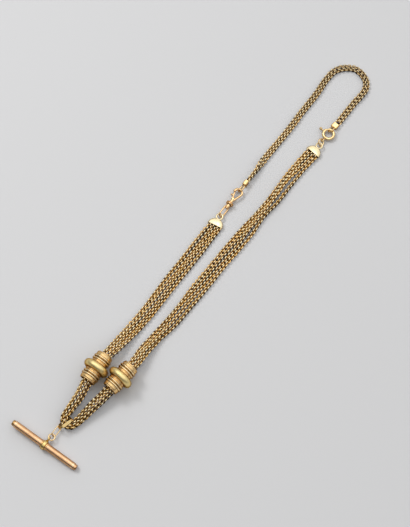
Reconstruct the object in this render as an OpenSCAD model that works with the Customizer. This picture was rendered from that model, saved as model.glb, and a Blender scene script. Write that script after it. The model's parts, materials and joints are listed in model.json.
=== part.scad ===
// Double albert watch chain, laid closed on a table as one long loop.
// Four fine chains run from the left end cap through a slide, round a bail
// that hangs from the T-bar, through a second slide and up to the right end
// cap. A dog clip and a bolt ring join the caps to a doubled extension chain.
// Millimetres, the table is z = 0, and the T-bar lies at the lower left.

/* [T-bar] */
// Length of the T-bar over its end buttons
bar_len = 36.6; // [30:0.2:42]
// Diameter of the bar
bar_d = 3.2; // [2.4:0.1:3.6]
// Diameter of the collar round the middle of the bar
collar_d = 4.8; // [4:0.1:5]
// Width of the collar along the bar
collar_w = 1.6; // [1.2:0.1:2.2]
// Radius of the small links' wire at the T-bar
eye_wire = 0.35; // [0.3:0.01:0.36]

/* [Bail] */
// Length of the bail over its ends
bail_len = 7.6; // [7.4:0.1:8]
// Height of the bail across its long sides
bail_h = 5.6; // [5.4:0.1:6]
// Width of the bail's flat band
bail_band = 1; // [0.9:0.05:1.05]
// Thickness of the bail's flat band
bail_thick = 0.5; // [0.4:0.05:0.55]
// Lean of the bail from upright, towards the right
bail_lean = 30; // [26:1:32]

/* [Chain] */
// Diameter of the tube that stands for one fine chain
chain_d = 1.5; // [1.2:0.05:1.55]
// Distance between the middles of two chains that touch
chain_gap = 1.8; // [1.75:0.01:1.85]
// Radius of an extension link, to the middle of its wire
link_r = 0.83; // [0.82:0.01:0.86]
// Radius of an extension link's wire
link_wire = 0.18; // [0.15:0.01:0.18]
// Distance from one extension link to the next
link_pitch = 1.17; // [1.16:0.01:1.19]

/* [Slides] */
// Length of a slide over its end rims
slide_len = 14.8; // [14:0.1:15.2]
// Diameter of a slide's fat middle ring
slide_ring_d = 12.8; // [12:0.1:13.2]
// Diameter of the four turned rims
slide_rim_d = 9; // [8.8:0.1:9.4]
// Diameter of the bore that the four chains run through
slide_bore = 6.9; // [6.8:0.05:7]

/* [End caps] */
// Width of an end cap, which holds four chains side by side
cap_w = 7.8; // [7.6:0.1:8.4]
// Thickness of an end cap
cap_t = 2.6; // [2.4:0.1:3]
// Radius of an end cap's ring, to the middle of its wire
cap_ring_r = 1.5; // [1.45:0.01:1.55]
// Radius of an end cap's ring wire
cap_ring_wire = 0.38; // [0.34:0.01:0.4]

/* [Dog clip] */
// Radius of the turned collar at the foot of the hook
clip_collar_r = 1.9; // [1.7:0.1:1.9]
// Radius of the hook's round bar
hook_wire = 0.5; // [0.4:0.05:0.55]
// Radius of the hook's bend, to the middle of its bar
hook_bend = 1.95; // [1.9:0.05:2]
// Radius of the shackle's wire
shackle_wire = 0.37; // [0.3:0.01:0.38]
// Half the distance between the middles of the shackle's two sides
shackle_half = 1.5; // [1.45:0.01:1.55]
// Turn of the shackle about the clip's long axis
shackle_roll = 58; // [56:1:60]

/* [Bolt ring] */
// Outer diameter of the bolt ring
bolt_ring_d = 6.65; // [6.5:0.05:6.7]
// Diameter of the bolt ring's hollow tube
bolt_tube_d = 1.45; // [1.4:0.05:1.5]
// Diameter of the sprung bolt inside it
bolt_d = 0.84; // [0.7:0.02:0.86]
// Radius of the jump ring, to the middle of its wire
jump_r = 1.8; // [1.78:0.01:1.82]
// Radius of the jump ring's wire
jump_wire = 0.36; // [0.32:0.01:0.38]

/* [Hidden] */
gold = [0.85, 0.68, 0.38];
rose_gold = [0.86, 0.62, 0.42];
green_gold = [0.82, 0.74, 0.42];
pale_gold = [0.93, 0.85, 0.58];
$fn = 48;
eps = 0.01;

// Where the pieces lie on the table, and the way each one points
bar_at = [-71.22, -93.13, collar_d / 2 + 0.03];
bar_heading = -35.2;
bar_lean = 2.5;
bail_at = [-62, -82.85, 2.8];
bail_heading = 37.6;
slide_left_at = [-47.95, -57.35, slide_ring_d / 2];
slide_left_heading = 55.6;
slide_right_at = [-36.55, -61.92, slide_ring_d / 2];
slide_right_heading = 47.6;
clip_at = [15.15, 27.6, clip_collar_r];
clip_heading = 54;
cap_left_at = [10.15, 20.7, 1.3];
cap_left_heading = 62;
cap_right_at = [60.05, 58.9, 1.3];
cap_right_heading = 47;
bolt_at = [64.9, 65.4, 1.6];
jump_at = [61.02, 60.74, 1.9];
jump_heading = 66;
jump_roll = 50;

// Four chains as one ribbon of sections. x, y, z: the ribbon's foot line.
// a1 to a4: how far each chain's middle lies to the left of that line.
//  x, y, z, a1, a2, a3, a4
RIBBON = [
    [7.7, 16.07, 1.1, -2.7, -0.9, 0.9, 2.7],
    [6.95, 14.65, 1.1, -2.7, -0.9, 0.9, 2.7],
    [5.4, 12.7, 0.9, -2.9, -0.8, 1, 2.7],
    [-0.2, 5.2, 0.9, -3, -0.9, 0.9, 3],
    [-6.2, -3, 0.9, -2.9, -0.8, 0.8, 2.9],
    [-12.2, -11, 0.9, -3, -0.7, 0.9, 2.8],
    [-18, -19.1, 0.9, -2.9, -0.9, 1.2, 2.7],
    [-23.7, -27.1, 0.9, -2.8, -0.7, 1, 2.6],
    [-29.8, -34.8, 1.2, -2.6, -0.9, 1, 2.5],
    [-36, -42.3, 2.6, -2.3, -0.7, 0.7, 2.3],
    [-39.8, -46.9, 3.8, -2.1, -0.8, 0.8, 2.1],
    [-43.6, -51.1, 4.6, -1.8, -0.9, 0.9, 1.8],
    [-48, -57.4, 4.7, -1.8, -0.9, 0.9, 1.8],
    [-52.4, -63.8, 4.6, -1.8, -0.9, 0.9, 1.8],
    [-55.6, -70, 3.9, -1.7, -0.9, 0.9, 1.7],
    [-58.8, -74.9, 3.2, -1.4, -0.9, 0.9, 1.3],
    [-61.5, -78.8, 2.7, -1, -0.9, 0.9, 1],
    [-62.4, -81.1, 2.4, -0.9, -0.9, 0.9, 0.9],
    [-62, -82.6, 1.9, -0.9, -0.9, 0.9, 0.9],
    [-61.1, -83.5, 1.4, -0.9, -0.9, 0.9, 0.9],
    [-59.8, -83.8, 1, -0.9, -0.9, 0.9, 0.9],
    [-58.4, -83.4, 0.9, -0.9, -0.9, 0.9, 0.9],
    [-56.5, -82, 1, -1, -0.9, 0.9, 1],
    [-53.9, -79.4, 1.7, -1.4, -0.9, 0.9, 1.3],
    [-50.2, -75.8, 2.9, -1.7, -0.9, 0.9, 1.7],
    [-45.9, -71.9, 4, -1.8, -0.9, 0.9, 1.8],
    [-41.4, -67.2, 4.6, -1.8, -0.9, 0.9, 1.8],
    [-36.6, -61.9, 4.7, -1.8, -0.9, 0.9, 1.8],
    [-31.7, -56.6, 4.6, -1.8, -0.9, 0.9, 1.8],
    [-28.7, -52.4, 3.8, -1.9, -0.8, 0.8, 1.9],
    [-25.9, -48, 2.6, -2, -0.7, 0.7, 2.1],
    [-19.5, -40.3, 1.1, -1.8, -0.8, 0.4, 2.2],
    [-13.1, -33, 0.9, -2.6, -0.9, 1.3, 2.3],
    [-7.1, -25.2, 0.9, -2.8, -0.8, 1.4, 2.2],
    [-1, -17.4, 0.9, -3, -0.9, 1.1, 2.8],
    [5.2, -9.6, 0.9, -2.9, -0.9, 1, 2.8],
    [11.4, -1.6, 0.9, -2.8, -1, 1, 2.9],
    [17.7, 6.1, 0.9, -2.9, -1, 1, 3],
    [24, 14.2, 0.9, -2.9, -0.7, 1, 2.6],
    [30.3, 22.4, 0.9, -2, -0.9, 1, 1.8],
    [36.9, 30.4, 0.9, -2.5, -0.4, 0.8, 2.1],
    [43, 39, 0.9, -2.7, -0.1, 0.6, 2.2],
    [49.5, 47.2, 0.9, -2.6, -0.8, 1, 2.4],
    [55.2, 53.7, 1.1, -2.7, -0.9, 0.9, 2.7],
    [56.5, 55.1, 1.1, -2.7, -0.9, 0.9, 2.7],
];

// The extension's two chains side by side. turn: how far the pair is rolled,
// 0 with both on the table and 90 with one on top of the other.
//  x, y, turn
PAIR = [
    [24.6, 40.5, 90],
    [28.4, 45.6, 80],
    [33.1, 52.6, 20],
    [37.7, 58.7, 0],
    [42.7, 65.1, 0],
    [48, 72.2, 20],
    [51.6, 77.6, 0],
    [55.7, 83, 0],
    [60.2, 89.2, 10],
    [64, 95.3, 0],
    [68.4, 100.6, 0],
    [72.2, 102.5, 10],
    [76, 103, 0],
    [79.8, 102.3, 0],
    [83, 99.4, 10],
    [84.9, 95.4, 0],
    [84.6, 91.2, 0],
    [82.4, 87.6, 10],
    [78.3, 82.9, 0],
    [74, 77.3, 0],
    [70.1, 72.07, 0],
];

// The whole loop is moved so that the middle of its box is at the origin
middle = [0.15, 0.28, 0];
module centred() {
    translate(-middle) children();
}

function dir(heading) = [cos(heading), sin(heading), 0];
function from(place, heading, along, left = 0, up = 0) =
    place + along * dir(heading) + left * dir(heading + 90) + [0, 0, up];
function unit(v) = v / norm(v);
function along_path(path, i) = unit(path[min(i + 1, len(path) - 1)] - path[max(i - 1, 0)]);
function leftward(way) = unit([-way[1], way[0], 0]);

// A chain that lies closer than chain_gap to its neighbour rides up on it
function ride(gap) = sqrt(max(0, chain_gap * chain_gap - gap * gap));
function heights(s) =
    let (third = ride(s[6] - s[5]))
    [0, max(ride(s[4] - s[3]), third + ride(s[5] - s[4])), third, 0];
function strand_path(k) =
    let (foot = [for (s = RIBBON) [s[0], s[1], s[2]]])
    [for (i = [0:len(RIBBON) - 1])
        let (way = along_path(foot, i), left = leftward(way))
        foot[i] + RIBBON[i][3 + k] * left + heights(RIBBON[i])[k] * cross(way, left)];

// One eight-sided tube along a path, closed at both ends
module tube(path, r) {
    sides = 8;
    rings = len(path);
    points = [for (i = [0:rings - 1])
        let (way = along_path(path, i), left = leftward(way), up = cross(way, left))
        for (j = [0:sides - 1])
            let (a = (j + 0.5) * 360 / sides)
            path[i] + r * (cos(a) * left + sin(a) * up)];
    walls = [for (i = [0:rings - 2], j = [0:sides - 1])
        let (a = i * sides + j, b = i * sides + (j + 1) % sides)
        for (t = [[a, a + sides, b + sides], [a, b + sides, b]]) t];
    ends = [[for (j = [0:sides - 1]) j], [for (j = [sides - 1:-1:0]) (rings - 1) * sides + j]];
    polyhedron(points, concat(walls, ends));
}

module ring(r, wire) {
    rotate_extrude() translate([r, 0]) circle(r = wire);
}

// Closed oval of round wire in the XY plane, long along X
module oval(length, r, wire) {
    straight = length - 2 * r;
    for (side = [1, -1]) {
        translate([side * straight / 2, 0, 0]) rotate([0, 0, -90 * side])
            rotate_extrude(angle = 180) translate([r, 0]) circle(r = wire);
        translate([-straight / 2, side * r, 0]) rotate([0, 90, 0]) cylinder(r = wire, h = straight);
    }
}

// Rectangle with round corners
module plate(length, width, corner) {
    square([length - 2 * corner, width], center = true);
    square([length, width - 2 * corner], center = true);
    for (x = [-1, 1], y = [-1, 1])
        translate([x * (length / 2 - corner), y * (width / 2 - corner)]) circle(r = corner);
}

// T-bar: tube with stepped ends, a turned collar, and an eye soldered to it
eye_r = 0.95;
eye_out = 3.45;
button_len = 1.2;
button_d = 0.86 * bar_d;
button_round = 0.35;
band_w = 0.8;
// Half outline of the turned collar and its two bands: radius, distance from the middle
band_out = collar_w / 2 + band_w;
collar_half = [[collar_d / 2, collar_w / 2 - 0.3], [collar_d / 2 - 0.15, collar_w / 2],
    [bar_d / 2 + 0.12, collar_w / 2 + 0.08], [bar_d / 2 + 0.25, collar_w / 2 + 0.2],
    [bar_d / 2 + 0.25, band_out - 0.15], [bar_d / 2 + 0.08, band_out]];
collar_turned = concat([for (p = collar_half) p],
    [[0, band_out], [0, -band_out]],
    [for (i = [len(collar_half) - 1:-1:0]) [collar_half[i][0], -collar_half[i][1]]]);
module t_bar() {
    color(rose_gold) translate(bar_at) rotate([0, bar_lean, bar_heading]) {
        rotate([0, 90, 0]) {
            cylinder(d = bar_d, h = bar_len - 2 * button_len, center = true);
            cylinder(d = button_d, h = bar_len - 2 * button_round, center = true);
            translate([0, 0, bar_len / 2 - button_round])
                cylinder(d1 = button_d, d2 = button_d - button_round, h = button_round);
            translate([0, 0, -bar_len / 2])
                cylinder(d1 = button_d - button_round, d2 = button_d, h = button_round);
            rotate_extrude() polygon(collar_turned);
        }
        translate([0, eye_out, 0]) rotate([0, 90, 0]) ring(eye_r, eye_wire);
    }
}

// Round ring through the T-bar's eye
t_ring_r = 1.5;
t_ring_wire = 0.33;
t_ring_at = from(bar_at, bar_heading, 0.5, eye_out + 1.45, -0.1);
module t_bar_ring() {
    color(gold) translate(t_ring_at) ring(t_ring_r, t_ring_wire);
}

// Oval link from that ring to the near end of the bail
oval_half = 1.3;
oval_wire = 0.24;
oval_roll = 50;
bail_side = from([0, 0, cos(bail_lean)], bail_heading, 0, -sin(bail_lean));
oval_end = from(bail_at, bail_heading, -(bail_len / 2 - bail_thick - 0.8)) - 0.3 * bail_side;
oval_start = t_ring_at + 0.7 * unit([oval_end[0] - t_ring_at[0], oval_end[1] - t_ring_at[1], 0]);
module oval_link() {
    way = oval_end - oval_start;
    heading = atan2(way[1], way[0]);
    pitch = atan2(way[2], norm([way[0], way[1]]));
    color(gold) translate((oval_start + oval_end) / 2) rotate([oval_roll, -pitch, heading])
        oval(norm(way), oval_half, oval_wire);
}

// Bail: a flat band bent to a rounded oblong that the four chains pass through, its band
// wider along the middle of its long sides
bail_corner = 2.2;
bail_swell = 0.22;
// Corner of the band's edge seen from the side: distance from the middle, half width
bail_edge = [[bail_len, bail_band / 2], [2.7, bail_band / 2], [1.5, bail_band / 2 + bail_swell]];
module bail() {
    color(gold) translate(bail_at) rotate([90 + bail_lean, 0, bail_heading]) intersection() {
        linear_extrude(2 * bail_band, center = true) difference() {
            plate(bail_len, bail_h, bail_corner);
            plate(bail_len - 2 * bail_thick, bail_h - 2 * bail_thick, bail_corner - bail_thick);
        }
        rotate([90, 0, 0]) linear_extrude(2 * bail_h, center = true) polygon(concat(
            [for (p = bail_edge) p],
            [for (i = [2:-1:0]) [-bail_edge[i][0], bail_edge[i][1]]],
            [for (p = bail_edge) [-p[0], -p[1]]],
            [for (i = [2:-1:0]) [bail_edge[i][0], -bail_edge[i][1]]]));
    }
}

module strand(k) {
    color(gold) tube(strand_path(k), chain_d / 2);
}

// Slide: one turned sleeve with a fat ring at its middle and two rims each side
slide_ring_r = 1.85;
rim_r = 0.42;
rims_at = [3.6, 4.95];
bead_r = 0.28;
bead_at = 2.35;
end_rim_r = 0.28;
module slide_outline() {
    half = slide_len / 2 - end_rim_r;
    sleeve = [[3.95, 1.7], [3.95, 3.1], [3.8, 3.3], [3.8, 5.3], [4.05, 5.5], [4.05, 6.6], [3.75, half]];
    polygon(concat([for (p = sleeve) p], [[0, half], [0, -half]],
        [for (i = [len(sleeve) - 1:-1:0]) [sleeve[i][0], -sleeve[i][1]]]));
    translate([slide_ring_d / 2 - slide_ring_r, 0]) circle(r = slide_ring_r);
    for (side = [-1, 1]) {
        for (z = rims_at) translate([slide_rim_d / 2 - rim_r, side * z]) circle(r = rim_r);
        translate([3.95, side * bead_at]) circle(r = bead_r);
        translate([3.62, side * half]) circle(r = end_rim_r);
    }
}
module slide(place, heading) {
    color(green_gold) translate(place) rotate([0, 90, heading]) rotate_extrude() difference() {
        slide_outline();
        translate([-1, -slide_len]) square([1 + slide_bore / 2, 2 * slide_len]);
    }
}

// End cap: half of a thick rounded disc, with a ring soldered to its round edge.
// Its place is the ring's, and the chains end at its flat face.
cap_reach = 5;
cap_ring_up = 0.6;
cap_steps = 12;
function cap_edge(i) =
    let (a = 90 * i / cap_steps)
    [cap_w / 2 * pow(sin(a), 0.8), cap_t / 2 * pow(cos(a), 0.6)];
module end_cap(place, heading) {
    top = [for (i = [0:cap_steps]) cap_edge(i)];
    low = [for (i = [cap_steps - 1:-1:0]) [top[i][0], -top[i][1]]];
    color(pale_gold) translate(place) rotate([0, 0, heading - 90]) {
        translate([0, -cap_reach, 0]) rotate_extrude(angle = 180) polygon(concat(top, low));
        translate([0, 0, cap_ring_up]) ring(cap_ring_r, cap_ring_wire);
    }
}

// Dog clip, drawn with X along the clip from the collar's middle towards the hook
pin_r = 0.42;
pin_play = 0.06;
boss_r = 1.05;
boss_from = 0.8;
boss_len = 1.6;
shackle_end = 8.5;
module on_clip() {
    translate(clip_at) rotate([0, 0, clip_heading]) children();
}
module rod(from_x, to_x, r) {
    translate([from_x, 0, 0]) rotate([0, 90, 0]) cylinder(r = r, h = to_x - from_x);
}
module clip_shackle() {
    boss_mid = -(boss_from + boss_len / 2);
    far_end = -(shackle_end - shackle_wire);
    color(gold) on_clip() rotate([shackle_roll, 0, 0]) difference() {
        union() {
            translate([(boss_mid + far_end) / 2, 0, 0])
                oval(boss_mid - far_end, shackle_half, shackle_wire);
            rod(-(boss_from + boss_len), -boss_from, boss_r);
        }
        rod(-(boss_from + boss_len) - 1, 0, pin_r + pin_play);
    }
}

// Hook: collar and pin, neck, a forked base for the lever, one straight side and the bend
hook_foot = [2.6, -0.55];
bend_at = [7.15, 0];
bend_reach = norm(bend_at - hook_foot);
side_len = sqrt(bend_reach * bend_reach - hook_bend * hook_bend);
side_angle = atan2(bend_at[1] - hook_foot[1], bend_at[0] - hook_foot[0]) - asin(hook_bend / bend_reach);
nose_angle = 92;
nose_from = 45;
nose_wire = hook_wire + 0.18;
lever_at = [3, 0.5];
lever_angle = 17.4;
lever_len = 3.15;
lever_wire = 0.46;
lever_eye_r = 0.6;
lever_eye_h = 0.8;
lever_pin_r = 0.25;
lever_play = 0.05;
fork_r = 0.92;
fork_h = 1.6;
fork_turned = [[0, -fork_h / 2], [0.45, -fork_h / 2], [fork_r, -0.4], [fork_r, 0.4], [0.45, fork_h / 2],
    [0, fork_h / 2]];
// Half outline of the turned foot, from the rivet's end to the neck: radius, distance
hook_turned = [[0, -2.9], [0.8, -2.9], [0.8, -2.5], [pin_r, -2.5], [pin_r, -0.65],
    [clip_collar_r - 0.2, -0.65], [clip_collar_r, -0.45], [clip_collar_r, -0.3],
    [clip_collar_r - 0.4, -0.1], [clip_collar_r - 0.4, 0.1], [clip_collar_r, 0.3],
    [clip_collar_r, 0.45], [clip_collar_r - 0.2, 0.65], [0.75, 0.75], [0.75, 2.5], [0, 2.5]];
module clip_hook() {
    color(gold) on_clip() {
        difference() {
            union() {
                rotate([0, 90, 0]) rotate_extrude() polygon(hook_turned);
                translate([lever_at[0], 0.15, 0]) rotate_extrude() polygon(fork_turned);
                translate([hook_foot[0], hook_foot[1], 0]) rotate([0, 0, side_angle]) {
                    rod(0, side_len, hook_wire);
                    sphere(r = hook_wire + 0.02);
                }
                translate([bend_at[0], bend_at[1], 0]) {
                    rotate([0, 0, side_angle - 90])
                        rotate_extrude(angle = nose_from + 2 - side_angle + 90)
                            translate([hook_bend, 0]) circle(r = hook_wire);
                    rotate([0, 0, nose_from]) rotate_extrude(angle = nose_angle - nose_from)
                        translate([hook_bend, 0]) circle(r = nose_wire);
                    for (a = [nose_from, nose_angle]) rotate([0, 0, a])
                        translate([hook_bend, 0, 0]) sphere(r = nose_wire + 0.02);
                }
            }
            translate([2.3, -0.2, -lever_eye_h / 2 - lever_play])
                cube([2, 2, lever_eye_h + 2 * lever_play]);
        }
        translate([lever_at[0], lever_at[1], -fork_h / 2 + eps])
            cylinder(r = lever_pin_r, h = fork_h - 2 * eps);
    }
}
module clip_lever() {
    color(gold) on_clip() translate([lever_at[0], lever_at[1], 0]) rotate([0, 0, lever_angle])
        difference() {
            union() {
                translate([0, 0, -lever_eye_h / 2]) cylinder(r = lever_eye_r, h = lever_eye_h);
                rod(0, lever_len, 0.38);
                translate([1.5, 0, 0]) rotate([0, 90, 0])
                    cylinder(r1 = 0.38, r2 = lever_wire, h = 0.3);
                rod(1.8, lever_len, lever_wire);
                translate([lever_len, 0, 0]) sphere(r = lever_wire);
                translate([2, 0, 0]) rotate([-90, 0, 0]) cylinder(r = 0.4, h = 0.9);
                translate([2, 1, 0]) sphere(r = 0.58);
            }
            translate([0, 0, -1]) cylinder(r = lever_pin_r + lever_play, h = 2);
        }
}

// Oblong cap of the extension chain with its ring; the place is the ring's middle
chain_cap_len = 2.6;
chain_cap_w = 3.3;
chain_cap_t = 2.1;
oval_ring_half = 1.4;
oval_ring_len = 4.4;
link_ring_wire = 0.33;
chain_cap_edge = 0.22;
module chain_cap_body() {
    rotate([0, 90, 0]) {
        translate([0, 0, chain_cap_edge]) linear_extrude(chain_cap_len - 2 * chain_cap_edge)
            plate(chain_cap_t, chain_cap_w, 0.6);
        linear_extrude(chain_cap_len)
            plate(chain_cap_t - 2 * chain_cap_edge, chain_cap_w - 2 * chain_cap_edge, 0.4);
    }
}
clip_ring_from = 8;
clip_ring_roll = -52;
module chain_cap_a() {
    color(pale_gold) on_clip() {
        translate([clip_ring_from + oval_ring_len / 2, 0, 0]) rotate([clip_ring_roll, 0, 0])
            oval(oval_ring_len, oval_ring_half, link_ring_wire);
        translate([clip_ring_from + oval_ring_len - 0.2, 0, 0]) rotate([90, 0, 0]) chain_cap_body();
    }
}
chain_cap_b_at = [66.35, 68, 1.7];
chain_cap_b_heading = 47;
round_ring_r = 1.75;
round_ring_roll = -50;
module chain_cap_b() {
    color(pale_gold) translate(chain_cap_b_at) rotate([0, 0, chain_cap_b_heading]) {
        rotate([round_ring_roll, 0, 0]) ring(round_ring_r, link_ring_wire);
        translate([round_ring_r - 0.1, 0, -0.5]) chain_cap_body();
    }
}

// Extension: a smooth curve through PAIR, then a link at every pitch along each chain
curve_steps = 6;
pair_gap = 1.75;
function link_low(turn) =
    link_wire + 0.08 + link_r * max(abs(sin(turn + 45)), abs(sin(turn - 45)));
function smooth(a, b, c, d, t) =
    b + t * (c - a + t * (2 * a - 5 * b + 4 * c - d + t * (3 * (b - c) + d - a))) / 2;
function pair_row(i) = PAIR[min(max(i, 0), len(PAIR) - 1)];
pair_line = [for (i = [0:len(PAIR) - 2], j = [0:curve_steps - 1])
    smooth(pair_row(i - 1), pair_row(i), pair_row(i + 1), pair_row(i + 2), j / curve_steps),
    PAIR[len(PAIR) - 1]];
function pair_path(side) =
    let (flat = [for (p = pair_line) [p[0], p[1], 0]])
    [for (i = [0:len(pair_line) - 1])
        let (turn = pair_line[i][2], left = leftward(along_path(flat, i)))
        flat[i] + side * pair_gap / 2 * cos(turn) * left
            + [0, 0, link_low(turn) + pair_gap / 2 * (sin(turn) + side * sin(turn))]];
function lengths(path, i = 0, done = 0, got = []) =
    i == len(path) - 1 ? concat(got, [done])
    : lengths(path, i + 1, done + norm(path[i + 1] - path[i]), concat(got, [done]));
module extension(side) {
    path = pair_path(side);
    run = lengths(path);
    last = len(path) - 1;
    axis = [for (k = [0:2]) [for (i = [0:last]) [run[i], path[i][k]]]];
    turns = [for (i = [0:last]) [run[i], pair_line[i][2]]];
    count = floor(run[last] / link_pitch);
    step = run[last] / count;
    color(gold) for (n = [0:count]) {
        s = n * step;
        here = [for (k = [0:2]) lookup(s, axis[k])];
        way = [for (k = [0:2]) lookup(s + link_r, axis[k]) - lookup(s - link_r, axis[k])];
        roll = lookup(s, turns) + (n % 2 == 0 ? 45 : -45);
        translate(here) rotate([roll, -atan2(way[2], norm([way[0], way[1]])), atan2(way[1], way[0])])
            ring(link_r, link_wire);
    }
}

// Bolt ring: a hollow tube with a gap that a sprung bolt closes, and an eye
bolt_r = (bolt_ring_d - bolt_tube_d) / 2;
bolt_room = bolt_d / 2 + 0.09;
gap_from = 80;
gap_to = 114;
knob_angle = 140;
knob_travel = 40;
knob_pin_r = 0.3;
knob_out = 4.9;
eye_angle = 226;
eye_tilt = -35;
bolt_eye_r = 0.95;
bolt_eye_wire = 0.3;
bolt_eye_out = bolt_ring_d / 2 + 0.15 + bolt_eye_r;
module arc(r, from_angle, to_angle) {
    rotate([0, 0, from_angle]) rotate_extrude(angle = to_angle - from_angle)
        translate([bolt_r, 0]) circle(r = r);
}
module bolt_ring() {
    color(pale_gold) translate(bolt_at) {
        difference() {
            arc(bolt_tube_d / 2, gap_to, gap_from + 360);
            ring(bolt_r, bolt_room);
            rotate([0, 0, knob_angle - 9]) rotate_extrude(angle = knob_travel + 18)
                translate([bolt_r, -knob_pin_r - 0.1]) square([2, 2 * knob_pin_r + 0.2]);
        }
        rotate([0, 0, eye_angle]) translate([bolt_eye_out, 0, 0]) rotate([90 + eye_tilt, 0, 0])
            ring(bolt_eye_r, bolt_eye_wire);
    }
}
module bolt_trigger() {
    color(pale_gold) translate(bolt_at) {
        arc(bolt_d / 2, gap_from - 5, knob_angle + 4);
        rotate([0, 0, knob_angle]) {
            translate([bolt_r, 0, 0]) rod(0, knob_out - bolt_r, knob_pin_r);
            translate([knob_out, 0, 0]) sphere(r = 0.76);
        }
    }
}
module jump_ring() {
    color(gold) translate(jump_at) rotate([jump_roll, 0, jump_heading]) ring(jump_r, jump_wire);
}

centred() t_bar();
centred() t_bar_ring();
centred() oval_link();
centred() bail();
centred() strand(0);  // strand_1
centred() strand(1);  // strand_2
centred() strand(2);  // strand_3
centred() strand(3);  // strand_4
centred() slide(slide_left_at, slide_left_heading);  // slide_left
centred() slide(slide_right_at, slide_right_heading);  // slide_right
centred() end_cap(cap_left_at, cap_left_heading);  // end_cap_left
centred() end_cap(cap_right_at, cap_right_heading);  // end_cap_right
centred() clip_shackle();
centred() clip_hook();
centred() clip_lever();
centred() chain_cap_a();
centred() extension(-1);  // extension_1
centred() extension(1);  // extension_2
centred() chain_cap_b();
centred() bolt_ring();
centred() bolt_trigger();
centred() jump_ring();
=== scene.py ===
import json
import math

import bpy
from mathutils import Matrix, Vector

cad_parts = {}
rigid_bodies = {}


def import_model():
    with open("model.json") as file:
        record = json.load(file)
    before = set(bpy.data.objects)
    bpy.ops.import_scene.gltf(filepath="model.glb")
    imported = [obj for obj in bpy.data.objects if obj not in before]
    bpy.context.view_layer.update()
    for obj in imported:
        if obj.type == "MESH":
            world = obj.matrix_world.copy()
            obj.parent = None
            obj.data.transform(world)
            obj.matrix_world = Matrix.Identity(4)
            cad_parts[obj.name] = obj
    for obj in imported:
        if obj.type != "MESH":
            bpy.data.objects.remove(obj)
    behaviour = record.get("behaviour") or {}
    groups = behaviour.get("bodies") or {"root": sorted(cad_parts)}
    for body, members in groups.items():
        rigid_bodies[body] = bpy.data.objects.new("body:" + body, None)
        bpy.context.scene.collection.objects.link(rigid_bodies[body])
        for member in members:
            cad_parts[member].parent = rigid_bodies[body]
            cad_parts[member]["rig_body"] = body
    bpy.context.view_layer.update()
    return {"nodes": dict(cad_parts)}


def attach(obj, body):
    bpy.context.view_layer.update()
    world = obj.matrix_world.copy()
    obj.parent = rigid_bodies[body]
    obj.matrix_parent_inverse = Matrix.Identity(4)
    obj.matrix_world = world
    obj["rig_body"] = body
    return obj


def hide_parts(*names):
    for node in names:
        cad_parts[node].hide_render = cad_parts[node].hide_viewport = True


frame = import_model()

bl_info = {
    "name": "Albert watch chain",
    "version": (1, 0, 0),
    "blender": (4, 5, 0),
    "location": "3D View > Sidebar > Watch chain",
    "description": "Rolls the fine links and finishes the golds of a double albert watch chain",
    "category": "Object",
}

MM = 0.001
NODES = frame["nodes"]

# The photo's height and the lens's focal length in pixels, and the film's height in millimetres
PHOTO_HEIGHT = 527
FOCAL_LENGTH = 1400
FILM_HEIGHT = 24

# Where the loop's middle lies in the source's own numbers, which the tables below keep
MIDDLE = (0.15, 0.28)

# Where the camera looks, in the same numbers
LOOK_AT = (3, -3)

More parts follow.
